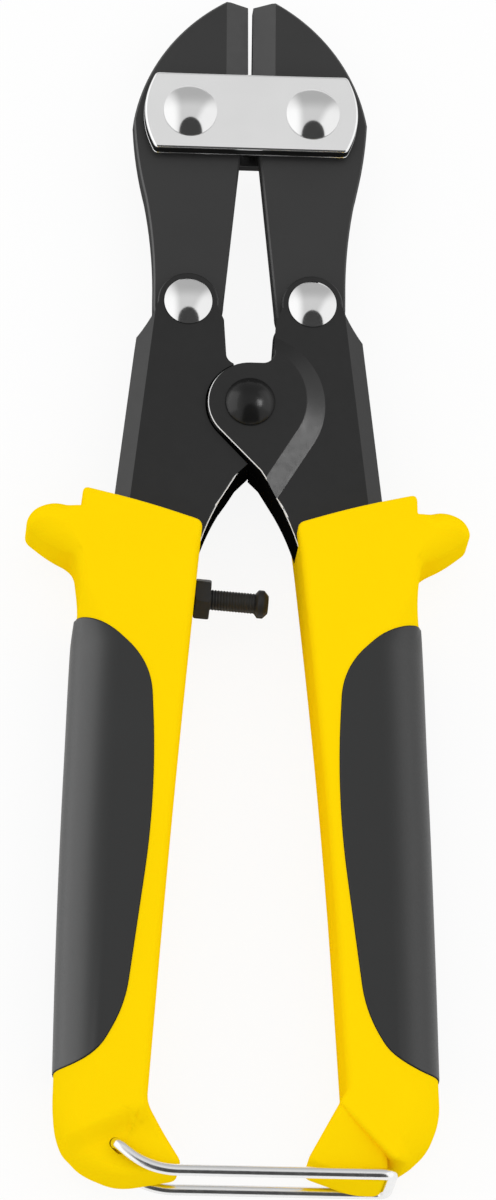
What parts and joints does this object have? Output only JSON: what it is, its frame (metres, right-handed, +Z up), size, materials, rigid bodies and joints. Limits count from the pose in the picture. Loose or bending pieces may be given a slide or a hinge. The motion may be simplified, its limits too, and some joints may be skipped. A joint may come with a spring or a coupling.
{
  "type": "bolt cutters",
  "caption": "Hand bolt cutters with compound-lever jaws, link straps, moulded grips with finger guards, a stop screw and a wire latch.",
  "frame": {"origin": "middle of the tool's box, on the surface that it lies on", "axes": "+Y towards the jaws along the tool, +X to the right seen from above, +Z up from the surface that it lies on"},
  "size_m": [0.0764, 0.21, 0.017],
  "materials": {
    "black_steel": "satin black coating on forged steel",
    "bright_plate": "bright nickel plate",
    "bright_rivet": "polished chrome",
    "black_rivet": "gloss black",
    "yellow_grip": "smooth glossy yellow plastic",
    "grey_pad": "satin dark grey soft overmould",
    "black_screw": "black oxide",
    "bright_wire": "bright nickel-plated wire"
  },
  "bodies": {
    "right_handle": {"right_lever": "black_steel", "right_grip": "yellow_grip", "right_grip_pad": "grey_pad", "pivot_rivet": "black_rivet", "right_toggle_rivet": "bright_rivet"},
    "left_handle": {"left_lever": "black_steel", "left_grip": "yellow_grip", "left_grip_pad": "grey_pad", "left_toggle_rivet": "bright_rivet", "stop_lock_nut": "black_screw"},
    "right_jaw": {"right_jaw": "black_steel"},
    "left_jaw": {"left_jaw": "black_steel"},
    "link_straps": {"front_link_strap": "bright_plate", "rear_link_strap": "bright_plate", "left_strap_rivet": "bright_rivet", "right_strap_rivet": "bright_rivet"},
    "wire_latch": {"wire_latch": "bright_wire"},
    "stop_screw": {"stop_screw": "black_screw"}
  },
  "joints": [
    {"name": "handles_open", "type": "hinge", "parent": "right_handle", "child": "left_handle", "pos_m": [0, 0.0302, 0.0085], "axis": [0, 0, -1], "range_deg": [0, 24]},
    {"name": "right_jaw_toggle", "type": "hinge", "parent": "right_handle", "child": "right_jaw", "pos_m": [0.01065, 0.04855, 0.0085], "axis": [0, 0, -1], "range_deg": [0, 20]},
    {"name": "left_jaw_toggle", "type": "hinge", "parent": "left_handle", "child": "left_jaw", "pos_m": [-0.01065, 0.04855, 0.0085], "axis": [0, 0, 1], "range_deg": [0, 20]},
    {"name": "strap_link", "type": "hinge", "parent": "right_jaw", "child": "link_straps", "pos_m": [0.0106, 0.08335, 0.0085], "axis": [0, 0, 1], "range_deg": [0, 8]},
    {"name": "latch_swing", "type": "hinge", "parent": "left_handle", "child": "wire_latch", "pos_m": [-0.0214, -0.0995, 0.0085], "axis": [0, 0, -1], "range_deg": [0, 116]},
    {"name": "stop_screw_feed", "type": "slide", "parent": "left_handle", "child": "stop_screw", "axis": [0.9976, -0.0698, 0], "range_m": [-0.003, 0.003]}
  ],
  "couplings": [
    {"joint": "right_jaw_toggle", "follows": "handles_open", "ratio": 0.778},
    {"joint": "left_jaw_toggle", "follows": "handles_open", "ratio": 0.778},
    {"joint": "strap_link", "follows": "handles_open", "ratio": 0.278},
    {"joint": "latch_swing", "follows": "handles_open", "ratio": 4.75}
  ]
}
